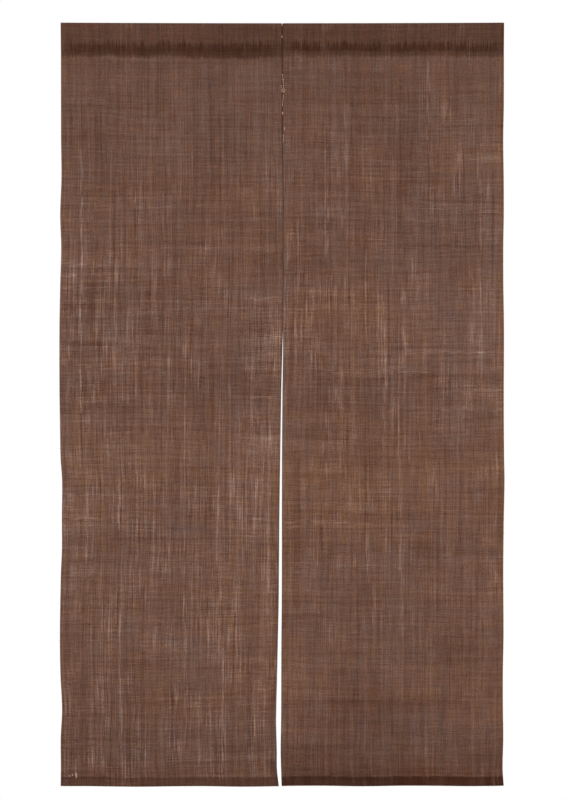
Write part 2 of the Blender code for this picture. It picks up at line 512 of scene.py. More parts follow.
# Where a change begins and where it is complete: drops, or distances from an edge, in mm.
NOTCH_SPAN = (-1, 7)
COCKLE_SPAN = (40, 260)
SEAM_END_SPAN = (SEAM_END_DROP - 30, SEAM_END_DROP + 25)
TIGHT_SEAM_SPAN = (130, 250)
MENDED_SEAM_SPAN = (195, 250)
LIVELY_SPAN = (90, 190)
LIGHTER_SPAN = (70, 560)
DARKER_SPAN = (1040, 1480)
SELVAGE_SPAN = (4, 9)
CORD_SPAN = (1.4, 2.6)
UPPER_SEAM_SPAN = (0.9, 2.3)
LOWER_SEAM_SPAN = (2, 5)
INWARD_SPAN = (4, 34)
SAG_SPAN = (190, 270)
CASING_EDGE_SPAN = (STITCH_DROP + 3, CASING_EDGE_DROP + 3.5)
STITCH_SPAN = (STITCH_DROP - 6, STITCH_DROP + 1.5)
TURNED_IN_SPAN = (TURNED_IN_TOP_DROP - 6, TURNED_IN_TOP_DROP + 7)
HEM_SPAN = (HEM_TOP_DROP - 1.8, HEM_TOP_DROP + 1.8)

# How far apart the yarns lie, where lighter slubs and painted light shining between the yarns begin, and
# where gaps open between them.
PATCH_OPENNESS = 1.9
OPENNESS_SPAN = (-0.9, 1.9)
SLUB_AND_SHINE_THROUGH_START = 0.45
GAP_SPAN = (0.1, 1.2)

# The darkest and the lightest that the yarns get, as steps from their brown, and the stops between.
DARKEST_TONE = -48.0
LIGHTEST_TONE = 72.0
TONE_STOPS = 7

# What differs from panel to panel. The edges are places across the flat cloth.
PANEL_CLOTHS = {
    "left": {
        "seed": 2.0,
        "outer_edge": 0.0,
        "seam_edge": -LEFT_EDGE,
        "warp_strength": 1.0,
        "tone": 0.0,
        "warm_selvage": 0.25,
        # The hem's painted shade, for the light its layers hold back.
        "hem_painted_shade": (0.58, 0.49, 0.44),
        "stitch_fade": 0.25,
        "casing_sag": 2.8,
    },
    "right": {
        "seed": 31.0,
        "outer_edge": RIGHT_EDGE,
        "seam_edge": 0.0,
        "warp_strength": 0.85,
        "tone": -0.5,
        "warm_selvage": 1.0,
        # The hem's painted shade, for the light its layers hold back.
        "hem_painted_shade": (0.39, 0.24, 0.15),
        "stitch_fade": 0.8,
        "casing_sag": 0.0,
    },
}

# Shades of the dye and the selvages, which multiply the yarns' colour, and painted shade: at the seam, and
# where the layers of the casing and the hem hold back the light that shines through a single layer.
COOL_DYE = (0.91, 1.0, 1.19)
WARM_DYE = (1.11, 0.99, 0.83)
SELVAGE_SHADE = (1.09, 0.97, 0.80)
CORD_SHADE = (1.12, 1.20, 1.32)
# Painted shade in the seam's groove, and painted shadow seen through the gap below it.
SEAM_GROOVE_PAINTED_SHADE = (0.86, 0.66, 0.46)
SEAM_GAP_PAINTED_SHADOW = (0.94, 0.97, 1.02)
# Painted shade of the doubled and turned-in layers, for the light they hold back.
DOUBLED_LAYER_PAINTED_SHADE = (0.69, 0.62, 0.57)
TURNED_IN_PAINTED_SHADE = (0.53, 0.37, 0.23)

# Small ripples of the cloth, and the pucker that the seam's stitches give it.
COCKLES = (
    # width, height, depth, seed
    (70, 150, 1.5, 0),
    (24, 46, 0.5, 7),
)
COCKLE_SEEDS = {"left": 3.0, "right": 11.0}
PUCKER_DEPTH = 0.45
PUCKER_WIDTH = 11.0
PUCKER_PITCH = 4.4
PUCKER_DRIFT = 61.0

# The threads: colours on screen, how fast their plies turn in radians a metre, and how a running stitch
# lifts off the cloth at shares of its length.
BROWN_THREAD = (92, 65, 52)
PALE_THREAD = (196, 162, 142)
HEMP_FIBRE = (138, 110, 94)
PLY_TURN_UP = 5200.0
PLY_TURN_EAST = 3600.0
STITCH_SHAPE = ((0.0, -0.4), (0.12, 0.12), (0.5, 0.24), (0.88, 0.12), (1.0, -0.4))
STITCH_ROWS = (
    # place, drop, stitch length, pitch, thread radius
    ("casing", STITCH_DROP, 4.2, 7, 0.24),
    ("hem", HEM_STITCH_DROP, 1.6, 7.5, 0.2),
)
STITCH_SEEDS = {"left": 21, "right": 37}
SEAM_THREAD_RADIUS = 0.22
MENDING_THREAD_RADIUS = 0.4
FIBRE_RADIUS = 0.07
WHIP_PITCH = 5.2
WHIP_REACH = 1.8
WHIP_START = 9.0
FIBRE_COUNT = 220

# Soft lights round the curtain, in metres, aimed at its middle.
CURTAIN_MIDDLE = (0.0, 0.0, -0.74)
SURROUND_LIGHT = 0.55
LIGHTS = (
    # name, place, size, power
    ("key", (-2.2, -3.4, 1.2), (2.4, 2.4), 90.0),
    ("fill", (2.6, -3.6, -0.4), (2.4, 2.6), 45.0),
    ("back", (0.8, 3.4, 1.0), (2.6, 2.2), 60.0),
)


def eased(start, end, value):
    """0 before the start, 1 past the end, and a smooth rise between them."""
    share = min(max((value - start) / (end - start), 0.0), 1.0)
    return share * share * (3.0 - 2.0 * share)


def read_table(rows, column, drop):
    """A column of a table at a drop, on a smooth curve through the table's rows."""
    index = 0
    while index < len(rows) - 2 and rows[index + 1][0] < drop:
        index += 1
    before = rows[max(index - 1, 0)]
    start = rows[index]
    end = rows[index + 1]
    after = rows[min(index + 2, len(rows) - 1)]
    span = end[0] - start[0]
    share = min(max((drop - start[0]) / span, 0.0), 1.0)
    slope_in = span * (end[column] - before[column]) / (end[0] - before[0])
    slope_out = span * (after[column] - start[column]) / (after[0] - start[0])
    square = share * share
    cube = square * share
    return (
        (2 * cube - 3 * square + 1) * start[column]
        + (cube - 2 * square + share) * slope_in
        + (3 * square - 2 * cube) * end[column]
        + (cube - square) * slope_out
    )


def seam_line(drop):
    """Where the middle of the seam or the slit lies at a drop."""
    return read_table(MEETING_LINE, 1, drop)


def loom_width(panel):
    """How wide a panel's flat cloth is."""
    return RIGHT_EDGE if panel == "right" else -LEFT_EDGE


def panel_edges(panel, drop):
    """Where a panel's left and right edges lie at a drop."""
    half_gap = TOP_NOTCH * (1.0 - eased(*NOTCH_SPAN, drop))
    if drop > SEAM_END_DROP:
        half_gap = read_table(MEETING_LINE, 2, drop) / 2
    if panel == "left":
        return LEFT_EDGE - read_table(OUTER_EDGES, 1, drop), seam_line(drop) - half_gap
    return seam_line(drop) + half_gap, RIGHT_EDGE + read_table(OUTER_EDGES, 2, drop)


def fold_depth(panel, x, drop):
    """How far the cloth leans to the back at a place on it."""
    down = min(max(drop / FULL_DROP, 0.0), 1.0)
    depth = 0.0
    for x_top, x_hem, starts, full, half_width, fold in FOLDS:
        centre = x_top + (x_hem - x_top) * down
        depth += fold * eased(starts, full, drop) * math.exp(-(((x - centre) / half_width) ** 2))
    for curled_panel, edge, side, starts, full, width, curl in EDGE_CURLS:
        if curled_panel == panel:
            inward = 1.0 - min(max(side * (x - edge) / width, 0.0), 1.0)
            depth += curl * eased(starts, full, drop) * inward * inward
    return depth


def cockle(panel, x, drop):
    """Small uneven ripples of hand-woven cloth, least at the casing and most in the open middle."""
    ripple = 0.0
    for width, height, depth, seed in COCKLES:
        ripple += depth * noise.noise(Vector((x / width, drop / height, COCKLE_SEEDS[panel] + seed)))
    return ripple * (0.25 + 0.75 * eased(*COCKLE_SPAN, drop))


def seam_roll(panel, x, drop):
    """The sewn edges roll to the back against each other, with a slight pucker from the stitches."""
    away = seam_line(drop) - x if panel == "left" else x - seam_line(drop)
    sewn = 1.0 - eased(*SEAM_END_SPAN, drop)
    deep = 1.0 - 0.85 * eased(*TIGHT_SEAM_SPAN, drop)
    roll = SEAM_ROLL * deep * max(0.0, 1.0 - away / SEAM_ROLL_WIDTH) ** 2
    wave = math.sin(drop / PUCKER_PITCH + 1.7 * math.sin(drop / PUCKER_DRIFT))
    pucker = PUCKER_DEPTH * math.exp(-max(away, 0.0) / PUCKER_WIDTH) * wave
    return sewn * (roll + pucker)


def arc(centre_y, centre_drop, radius, start, end, steps):
    """Points round a bend, without its first one. Angles are in half turns, 0 to the back and 0.5 up."""
    points = []
    for step in range(1, steps + 1):
        angle = math.pi * (start + (end - start) * step / steps)
        points.append((centre_y + radius * math.cos(angle), centre_drop - radius * math.sin(angle)))
    return points


def straight(start, end):
    """Evenly spaced points along a straight stretch, about a row apart, without its first one."""
    count = max(1, round(math.dist(start, end) / ROW_HEIGHT))
    points = []
    for index in range(1, count + 1):
        share = index / count
        points.append((start[0] + (end[0] - start[0]) * share, start[1] + (end[1] - start[1]) * share))
    return points


def cloth_path():
    """The panel's length as (y, drop) points: hem, body, over the sleeve, down to the turned-in edge."""
    bend = LAYER_STEP / 2
    path = [(LAYER_STEP, HEM_EDGE_DROP)]
    path += straight(path[-1], (LAYER_STEP, HEM_TOP_DROP + bend))
    path += arc(LAYER_STEP + bend, HEM_TOP_DROP + bend, bend, 1.0, 0.0, 4)
    path += straight(path[-1], (2 * LAYER_STEP, FULL_DROP - LAYER_STEP))
    path += arc(LAYER_STEP, FULL_DROP - LAYER_STEP, LAYER_STEP, 0.0, -1.0, 5)
    path += straight(path[-1], (0.0, STITCH_DROP))
    path += straight(path[-1], (-SLEEVE_RADIUS, ROD_DROP))
    path += arc(0.0, ROD_DROP, SLEEVE_RADIUS, 1.0, 0.0, 12)
    path += straight(path[-1], (2 * LAYER_STEP, STITCH_DROP))
    path += straight(path[-1], (2 * LAYER_STEP, CASING_EDGE_DROP - bend))
    path += arc(LAYER_STEP + bend, CASING_EDGE_DROP - bend, bend, 0.0, -1.0, 4)
    path += straight(path[-1], (LAYER_STEP, STITCH_DROP))
    flank = (SLEEVE_RADIUS - 2 * LAYER_STEP) * (STITCH_DROP - TURNED_IN_TOP_DROP) / (STITCH_DROP - ROD_DROP)
    path += straight(path[-1], (LAYER_STEP + flank, TURNED_IN_TOP_DROP))
    return path


def path_lengths(path):
    """How far along the cloth each point of its path lies."""
    lengths = [0.0]
    for start, end in zip(path[:-1], path[1:]):
        lengths.append(lengths[-1] + math.dist(start, end))
    return lengths


def hung_point(panel, x, y, drop):
    """A place on the hung cloth, in metres, from its x and its place in the section."""
    lift = TOP_SAG * (x / RIGHT_EDGE) ** 2 * (1.0 - drop / FULL_DROP)
    if panel == "right":
        lift += RIGHT_HEM_RISE * eased(SEAM_END_DROP, FULL_DROP, drop)
    depth = y + fold_depth(panel, x, drop) + cockle(panel, x, drop) + seam_roll(panel, x, drop)
    return Vector((x * MM, depth * MM, (ROD_DROP - drop + lift) * MM))


def front_of_section(drop):
    """How far forward the middle of the front layer lies in the section: it swells over the sleeve."""
    swell = min(max((STITCH_DROP - drop) / (STITCH_DROP - ROD_DROP), 0.0), 1.0)
    return -SLEEVE_RADIUS * swell


def patch_reach(x, drop, patch_x, patch_drop, half_width, half_height):
    """How much of a soft patch a place has: 1 at its middle, fading outward."""
    return math.exp(-(((x - patch_x) / half_width) ** 2) - ((drop - patch_drop) / half_height) ** 2)


def patch_look(x, drop):
    """The lightness, openness and warmth that the patches give to a place on the cloth."""
    lightness = 0.0
    openness = 0.0
    warmth = 0.0
    for *patch, lighter, opened in PATCHES:
        reach = patch_reach(x, drop, *patch)
        lightness += lighter * reach
        openness += opened * reach
    for *patch, warmer in DYE_PATCHES:
        warmth += warmer * patch_reach(x, drop, *patch)
    return lightness, openness, warmth


class Socket:
    """A socket that carries a value over the cloth, so that shader maths reads as plain arithmetic."""

    def __init__(self, finish, socket):
        self.finish = finish
        self.socket = socket

    def maths(self, operation, *values):
        return self.finish.node("ShaderNodeMath", {"operation": operation}, dict(enumerate(values)))

    def __add__(self, other):
        return self.maths("ADD", self, other)

    __radd__ = __add__

    def __sub__(self, other):
        return self.maths("SUBTRACT", self, other)

    def __rsub__(self, other):
        return self.maths("SUBTRACT", other, self)

    def __mul__(self, other):
        return self.maths("MULTIPLY", self, other)

    __rmul__ = __mul__

    def __truediv__(self, other):
        return self.maths("DIVIDE", self, other)

    def sine(self):
        return self.maths("SINE", self)

    def distance(self, place):
        """How far the value is from a place, on either side."""
        return self.maths("ABSOLUTE", self - place)

    def near(self, place, reach):
        """1 within a reach of a place, and 0 beyond it."""
        return self.maths("COMPARE", self, place, reach)

    def parts(self):
        """The three parts of a vector."""
        node = self.finish.node("ShaderNodeSeparateXYZ", None, {0: self}).socket.node
        return [Socket(self.finish, socket) for socket in node.outputs]


class Finish:
    """A material in the making: its node tree, and the one method that adds a node to it."""

    def __init__(self, name):
        self.material = bpy.data.materials.new(name)
        self.material.use_nodes = True
        self.tree = self.material.node_tree
        self.shader = self.tree.nodes["Principled BSDF"]

    def node(self, kind, settings=None, values=None, output=0):
        made = self.tree.nodes.new(kind)
        for name, setting in (settings or {}).items():
            if name == "stops":
                self.set_stops(made.color_ramp, setting)
            else:
                setattr(made, name, setting)
        for key, value in (values or {}).items():
            self.feed(made.inputs[key], value)
        return Socket(self, made.outputs[output])

    def set_stops(self, ramp, stops):
        while len(ramp.elements) < len(stops):
            ramp.elements.new(1.0)
        for element, (position, colour) in zip(ramp.elements, stops):
            element.position = position
            element.color = (*colour, 1.0)

    def feed(self, socket, value):
        if isinstance(value, Socket):
            self.tree.links.new(value.socket, socket)
        else:
            socket.default_value = value

    def surface(self, **values):
        """Feed the surface shader's sockets, named in words joined by underscores."""
        for name, value in values.items():
            self.feed(self.shader.inputs[name.replace("_", " ")], value)

    def rise(self, value, start, end):
        """0 below the start, 1 past the end, smooth between."""
        return self.node(
            "ShaderNodeMapRange",
            {"interpolation_type": "SMOOTHSTEP"},
            {"Value": value, "From Min": start, "From Max": end},
        )

    def fall(self, value, start, end):
        """1 below the start, 0 past the end, smooth between."""
        return 1.0 - self.rise(value, start, end)

    def cells(self, across, along, width, length, seed, detail=0.0):
        """Soft noise about 0, near 1 at its usual reach, in cells of a width and a length."""
        place = self.node("ShaderNodeCombineXYZ", None, {0: across / width, 1: along / length, 2: seed})
        values = {"Vector": place, "Scale": 1.0, "Detail": detail}
        found = self.node("ShaderNodeTexNoise", {"noise_dimensions": "3D"}, values)
        return (found - NOISE_MIDDLE) * NOISE_GAIN

    def tint(self, kind, share, first, second):
        """Two colours mixed by a share. A colour given in numbers has three of them."""
        settings = {"data_type": "RGBA", "blend_type": kind, "clamp_factor": True}
        values = {"Factor": share}
        for key, colour in ((6, first), (7, second)):
            values[key] = colour if isinstance(colour, Socket) else (*colour, 1.0)
        return self.node("ShaderNodeMix", settings, values, output=2)

    def shaded(self, colour, share, shade):
        """A colour multiplied by a shade over a share of it."""
        return self.tint("MULTIPLY", share, colour, shade)

    def relief(self, strength, depth, height):
        """The normal of a surface with a height, which is in parts of a depth in mm."""
        values = {"Strength": strength, "Distance": depth * MM, "Height": height}
        return self.node("ShaderNodeBump", None, values)


def linear(*screen):
    """A colour given in 0 to 255 screen values, as the linear colour that a shader takes."""
    shades = []
    for value in screen:
        share = value / 255.0
        shades.append(share / 12.92 if share <= 0.04045 else ((share + 0.055) / 1.055) ** 2.4)
    return tuple(shades)


def tone_stops():
    """Hemp brown from its darkest to its lightest, as stops of a colour ramp."""
    stops = []
    for index in range(TONE_STOPS):
        position = index / (TONE_STOPS - 1)
        step = DARKEST_TONE + (LIGHTEST_TONE - DARKEST_TONE) * position
        stops.append((position, linear(*(max(channel + step, 4.0) for channel in HEMP_BROWN))))
    return stops


def warp_boxes(panel):
    """The panel's listed warp lines, each as its middle and half sizes on the flat cloth, and its tone."""
    for x, starts, ends, half_width, tone in WARP_LINES[panel]:
        middle = (starts + ends) / 2
        left, right = panel_edges(panel, middle)
        across = (x - left) / (right - left) * loom_width(panel)
        yield across, middle, half_width, (ends - starts) / 2, tone


def weft_boxes(panel):
    """The panel's listed weft lines, each as its middle and half sizes on the flat cloth, and its tone."""
    for drop, starts, ends, half_height, tone in WEFT_LINES[panel]:
        across = (starts + ends) / 2 - panel_edges(panel, drop)[0]
        yield across, drop, (ends - starts) / 2, half_height, tone


def box_tones(across, drop, boxes):
    """The tones of boxes on the cloth at a place, added up."""
    tones = 0.0
    for middle_across, middle_drop, half_width, half_height, tone in boxes:
        inside = across.near(middle_across, half_width) * drop.near(middle_drop, half_height)
        tones = inside.maths("MULTIPLY_ADD", inside, tone, tones)
    return tones


class HempCloth(Finish):
    """A panel's open plain weave in the making: the places on it, its yarns and how far apart they lie."""

    def __init__(self, panel):
        super().__init__(panel + "_hemp_cloth")
        self.panel = panel
        self.own = PANEL_CLOTHS[panel]
        place = self.node("ShaderNodeAttribute", {"attribute_name": "cloth_place"}, None, output=1)
        look = self.node("ShaderNodeAttribute", {"attribute_name": "cloth_look"}, None, output=1)
        self.across, self.along, self.drop = place.parts()
        self.lightness, patch_openness, self.warmth = look.parts()

        # The weft isn't quite straight: it bows and wanders by a few millimetres.
        self.bow = WEFT_BOW * self.uneven("weft bow")
        self.along = self.along + self.bow
        self.fine_warp = self.uneven("fine warp, " + panel)
        self.fine_weft = self.uneven("fine weft")
        self.loose = self.uneven("loose weave")
        self.openness = self.rise(self.loose + PATCH_OPENNESS * patch_openness, *OPENNESS_SPAN)
        bright = self.uneven("bright yarns") - SLUB_AND_SHINE_THROUGH_START
        self.slubs_and_shine_through = bright.maths("MAXIMUM", bright, 0.0)
        self.from_outer = self.across.distance(self.own["outer_edge"])
        self.from_seam = self.across.distance(self.own["seam_edge"])

    def uneven(self, kind):
        """One kind of unevenness over the cloth, about 0."""
        width, length, seed, detail = UNEVENNESS[kind]
        return self.cells(self.across, self.along, width, length, self.own["seed"] + seed, detail)

    def mixed(self, total, strengths):
        """A total with some kinds of unevenness added, each by its strength."""
        for kind, strength in strengths:
            total = total + strength * self.uneven(kind)
        return total

    def placed_yarns(self, tone):
        """A tone with the listed yarns added, which wander a little and end unevenly."""
        across = self.across + WARP_WANDER * self.uneven("warp wander")
        drop = self.drop + self.bow + WEFT_WANDER * self.uneven("weft wander")
        ragged_drop = drop + RAGGED_WARP * self.uneven("broken warp")
        ragged_across = across + RAGGED_WEFT * self.uneven("broken weft")
        warps = box_tones(across, ragged_drop, warp_boxes(self.panel))
        wefts = box_tones(ragged_across, drop, weft_boxes(self.panel))
        tone = tone + PLACED_TONE * warps * (0.75 + 0.35 * self.fine_warp)
        return tone + PLACED_TONE * wefts * (0.65 + 0.45 * self.fine_weft)

    def yarn_tone(self):
        """How light the yarns are, in screen steps: streaks down the warp and lines along the weft."""
        warp_tone = self.mixed(FINE_WARP_TONE * self.fine_warp, WARP_TONES)
        weft_tone = self.mixed(FINE_WEFT_TONE * self.fine_weft, WEFT_TONES)
        lively = 0.7 + 0.3 * self.rise(self.drop, *LIVELY_SPAN)
        tone = (warp_tone * self.own["warp_strength"] + weft_tone) * lively
        tone = (tone + GRAIN_TONE * self.uneven("grain")) * (0.64 + 0.38 * self.openness)
        # Lighter slubs and painted light that shines through between the yarns, where the weave is open.
        tone = tone + SLUB_AND_SHINE_THROUGH_TONE * self.slubs_and_shine_through * (self.openness - 0.12)
        tone = self.placed_yarns(tone)
        middle = self.rise(self.drop, *LIGHTER_SPAN) - self.rise(self.drop, *DARKER_SPAN)
        tone = tone + BROAD_TONE * self.uneven("broad tone") + self.loose + self.lightness
        return tone + MIDDLE_TONE * middle + self.own["tone"]

    def yarn_colour(self):
        """Hemp brown by its tone. The dye took warmer in some yarns and places and cooler in others."""
        share = (self.yarn_tone() - DARKEST_TONE) / (LIGHTEST_TONE - DARKEST_TONE)
        brown = self.node("ShaderNodeValToRGB", {"stops": tone_stops()}, {0: share})
        dye = self.mixed(self.warmth + USUAL_WARMTH, DYE_WARMTHS)
        dye_colour = self.tint("MIX", 0.5 + DYE_PER_STEP * dye, COOL_DYE, WARM_DYE)
        return self.shaded(brown, 1.0, dye_colour)

    def with_edges(self, colour):
        """A colour with the marks of the outer selvage, and painted shade and shadow at the seam."""
        # The outer selvage is packed tighter and dyed a little warmer, with a paler cord as its last yarn.
        packed = self.fall(self.from_outer, *SELVAGE_SPAN) * self.own["warm_selvage"]
        colour = self.shaded(colour, packed, SELVAGE_SHADE)
        colour = self.shaded(colour, self.fall(self.from_outer, *CORD_SPAN), CORD_SHADE)

        # Painted shade at the seam: darker down to the mended stretch, for the shaded groove where the
        # selvages roll back, and a little greyer below it, for the shadow that shows through the gap
        # between them.
        lower = self.rise(self.drop, *MENDED_SEAM_SPAN)
        darker = self.fall(self.from_seam, *UPPER_SEAM_SPAN) * (1.0 - lower)
        colour = self.shaded(colour, darker, SEAM_GROOVE_PAINTED_SHADE)
        greyer = self.fall(self.from_seam, *LOWER_SEAM_SPAN) * lower
        return self.shaded(colour, greyer, SEAM_GAP_PAINTED_SHADOW)

    def with_layers(self, colour):
        """A colour with painted shade where the casing and the hem lie in layers, which hold back the light
        that shines through a single layer. Their hidden edges are uneven.
        """
        waver = self.uneven("turned edge")
        frayed = self.uneven("frayed edge")
        clumps = self.uneven("clumps")
        ragged = self.drop + waver + 1.3 * frayed
        sagging = ragged - self.own["casing_sag"] * self.rise(self.across, *SAG_SPAN)
        doubled = self.fall(sagging, *CASING_EDGE_SPAN)
        turned_in = self.rise(ragged + 2.2 * frayed, *TURNED_IN_SPAN)
        stitched = self.rise(sagging, *STITCH_SPAN)
        nearest = self.from_outer.maths("MINIMUM", self.from_outer, self.from_seam)
        inward = self.rise(nearest, *INWARD_SPAN)
        trebled = turned_in * doubled * (1.0 - self.own["stitch_fade"] * stitched)
        trebled = trebled * (0.86 + 0.16 * clumps + 0.1 * frayed) * (0.42 + 0.63 * inward)
        hem = self.rise(self.drop + 0.6 * frayed + 0.4 * waver, *HEM_SPAN)
        hem = hem * (0.94 + 0.09 * clumps + 0.04 * frayed)
        # Painted shade: the layers darken where they hold back light that shines through one layer.
        colour = self.shaded(colour, doubled, DOUBLED_LAYER_PAINTED_SHADE)
        colour = self.shaded(colour, trebled, TURNED_IN_PAINTED_SHADE)
        return self.shaded(colour, hem, self.own["hem_painted_shade"])

    def weave_height(self):
        """The height of the plain weave: a crown for each yarn that passes over another."""
        warp_crowns = (self.across * (math.pi / THREAD_PITCH)).sine()
        weft_crowns = (self.along * (math.pi / THREAD_PITCH)).sine()
        return 0.06 * warp_crowns * weft_crowns + 0.03 * self.fine_warp + 0.02 * self.fine_weft


def hemp_cloth(panel):
    """Open plain weave of uneven brown hemp yarns, darker where it lies in layers."""
    cloth = HempCloth(panel)

    # Light passes between the yarns where they lie apart.
    gaps = cloth.rise(cloth.slubs_and_shine_through * cloth.openness, *GAP_SPAN)
    cloth.surface(
        Base_Color=cloth.with_layers(cloth.with_edges(cloth.yarn_colour())),
        Roughness=0.9,
        Specular_IOR_Level=0.2,
        Sheen_Weight=0.06,
        Sheen_Roughness=0.5,
        Alpha=1.0 - 0.02 * gaps,
        Normal=cloth.relief(0.7, 1.0, cloth.weave_height()),
    )
    return cloth.material


def hemp_thread(name, colour, seed):
    """Spun sewing thread: two plies that turn round each other, with paler and darker lengths."""
    finish = Finish(name)
    place = finish.node("ShaderNodeTexCoord", None, None, output=3)
    east, depth, up = place.parts()
    mottle = finish.cells(east * (1.0 / MM), up * (1.0 / MM), 2.5, 2.5, seed)
    plies = (up * PLY_TURN_UP + east * PLY_TURN_EAST).sine()
    dark = linear(*(channel * 0.72 for channel in colour))
    light = linear(*(min(channel * 1.18, 250.0) for channel in colour))
    finish.surface(
        Base_Color=finish.tint("MIX", 0.5 + 0.22 * mottle + 0.18 * plies, dark, light),
        Roughness=0.8,
        Specular_IOR_Level=0.25,
        Normal=finish.relief(0.5, 0.1, plies),
    )
    return finish.material


def woven_strip(panel):
    """A panel's cloth as a thin strip along its path, with its places and looks, and its flat length."""
    path = cloth_path()
    lengths = path_lengths(path)
    columns = round(loom_width(panel) / COLUMN_WIDTH)
    rows = len(path) - 1
    strip = bmesh.new()
    bmesh.ops.create_grid(strip, x_segments=columns, y_segments=rows, size=0.5)
    place = strip.verts.layers.float_vector.new("cloth_place")
    look = strip.verts.layers.float_vector.new("cloth_look")
    for vertex in strip.verts:
        share = vertex.co.x + 0.5
        row = round((vertex.co.y + 0.5) * rows)
        y, drop = path[row]
        left, right = panel_edges(panel, drop)
        x = left + (right - left) * share
        vertex[place] = (share * loom_width(panel), lengths[row], drop)
        vertex[look] = patch_look(x, drop)
        vertex.co = hung_point(panel, x, y, drop)
    mesh = bpy.data.meshes.new(panel + "_panel_cloth")
    strip.to_mesh(mesh)
    strip.free()
    return mesh, lengths[-1]


def hang_panel(panel, material):
    """One panel of cloth in its thickness, and its flat size in metres."""
    mesh, length = woven_strip(panel)
    mesh.materials.append(material)
    mesh.shade_smooth()
    cloth = bpy.data.objects.new(panel + "_panel_cloth", mesh)
    bpy.context.scene.collection.objects.link(cloth)
    thickness = cloth.modifiers.new("thickness", "SOLIDIFY")
    thickness.thickness = CLOTH_THICKNESS * MM
    thickness.offset = 0.0
    node = "panel_" + panel
    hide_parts(node)
    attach(cloth, "root")
    return cloth, (loom_width(panel) * MM, length * MM)


def lay_threads(name, runs, radius, material):
    """Runs of thread, each a list of points in metres, as one piece of thin round cord."""
    curve = bpy.data.curves.new(name, "CURVE")
    curve.dimensions = "3D"
    curve.bevel_depth = radius * MM
    curve.bevel_resolution = 1
    curve.use_fill_caps = True
    for points in runs:
        spline = curve.splines.new("POLY")
        spline.points.add(len(points) - 1)
        for point, place in zip(spline.points, points):
            point.co = (*place, 1.0)
    curve.materials.append(material)
    threads = bpy.data.objects.new(name, curve)
    bpy.context.scene.collection.objects.link(threads)
    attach(threads, "root")
    return threads


def on_front(x, drop, lift=0.0):
    """A place on the cloth's front face, lifted off it by so many mm."""
    panel = "left" if x < seam_line(drop) else "right"
    return hung_point(panel, x, front_of_section(drop) - CLOTH_THICKNESS / 2 - lift, drop)


def whip_seam():
    """One thread that whips the two selvages together, from the casing's top to the end of the seam."""
    steps = 8
    turns = int((SEAM_END_DROP - 8.0 - WHIP_START) / WHIP_PITCH)
    points = []
    for index in range(turns * steps):
        angle = 2.0 * math.pi * index / steps
        drop = WHIP_START + WHIP_PITCH * index / steps
        uneven = 1.0 + 0.25 * math.sin(index * 0.37) * math.sin(index * 0.11)
        x = seam_line(drop) + WHIP_REACH * uneven * math.cos(angle)
        out = -0.42 if math.sin(angle) > 0 else SEAM_ROLL + 0.5
        y = front_of_section(drop) + out * abs(math.sin(angle))
        points.append(hung_point("right", x, y, drop))
    return [points]


def thread_loop(x, drop, half_width, half_height):
    """One loop of thread that stands a little off the cloth."""
    steps = 14
    loop = []
    for index in range(steps + 1):
        angle = 2.0 * math.pi * index / steps
        loop_x = x + half_width * math.cos(angle)
        loop_drop = drop + half_height * math.sin(angle)
        loop.append(on_front(loop_x, loop_drop, 0.35 + 0.25 * math.cos(2.0 * angle)))
    return loop


def mend_seam():
    """Loops and straight runs of paler thread where the seam and a hem corner were caught again."""
    runs = [thread_loop(*knot) for knot in HEM_KNOTS]
    for x, drop, half_width, half_height in MEND_LOOPS:
        runs.append(thread_loop(seam_line(drop) + x, drop, half_width, half_height))
    steps = 5
    for x_start, drop_start, x_end, drop_end in MEND_RUNS:
        run = []
        for index in range(steps + 1):
            share = index / steps
            drop = drop_start + (drop_end - drop_start) * share
            x = seam_line(drop) + x_start + (x_end - x_start) * share
            run.append(on_front(x, drop, 0.9 * math.sin(math.pi * share) - 0.2))
        runs.append(run)
    return runs


def running_stitches(panel, drop, length, pitch, seed):
    """Hand stitches in a row across a panel, each dipping into the cloth at both ends."""
    chance = random.Random(seed)
    left, right = panel_edges(panel, drop)
    runs = []
    x = left + 5.0
    while x + length < right - 4.0:
        size = length * chance.uniform(0.8, 1.2)
        stitch_drop = drop + chance.uniform(-0.5, 0.5)
        slant = chance.uniform(-0.3, 0.3)
        run = []
        for share, lift in STITCH_SHAPE:
            run.append(on_front(x + size * share, stitch_drop + slant * share, lift))
        runs.append(run)
        x += pitch * chance.uniform(0.88, 1.12)
    return runs


def bent_fibre(chance, root, step):
    """One hair from its root, which bends as it goes. The step is its first heading, east and down."""
    length = chance.uniform(1.5, 5.0)
    curl = chance.uniform(-1.2, 1.2)
    lean = chance.uniform(-0.6, 0.6)
    parts = 4
    points = []
    for part in range(parts + 1):
        share = part / parts
        bent = curl * share
        east = (step[0] * math.cos(bent) - step[1] * math.sin(bent)) * length * share
        down = (step[0] * math.sin(bent) + step[1] * math.cos(bent)) * length * share
        points.append(root + Vector((east * MM, lean * length * share * MM, -down * MM)))
    return points


def loose_fibres(count, seed):
    """Fine hemp hairs that stand off the selvages and the hems, but not off the sewn edges."""
    chance = random.Random(seed)
    runs = []
    for _ in range(count):
        panel = chance.choice(("left", "right"))
        drop = chance.uniform(70.0, FULL_DROP - 2.0)
        left, right = panel_edges(panel, drop)
        along_hem = chance.random() < 0.35
        if along_hem:
            drop = FULL_DROP - 0.4
            x = chance.uniform(left + 2.0, right - 2.0)
            heading = chance.uniform(-0.9, 0.9)
            step = (math.sin(heading), math.cos(heading))
        else:
            at_left = chance.random() < 0.5
            x = left if at_left else right
            if drop < SEAM_END_DROP and abs(x) < 20.0:
                continue
            heading = chance.uniform(-1.0, 1.0)
            side = -1.0 if at_left else 1.0
            step = (side * math.cos(heading), math.sin(heading))
        runs.append(bent_fibre(chance, hung_point(panel, x, 0.0, drop), step))
    return runs


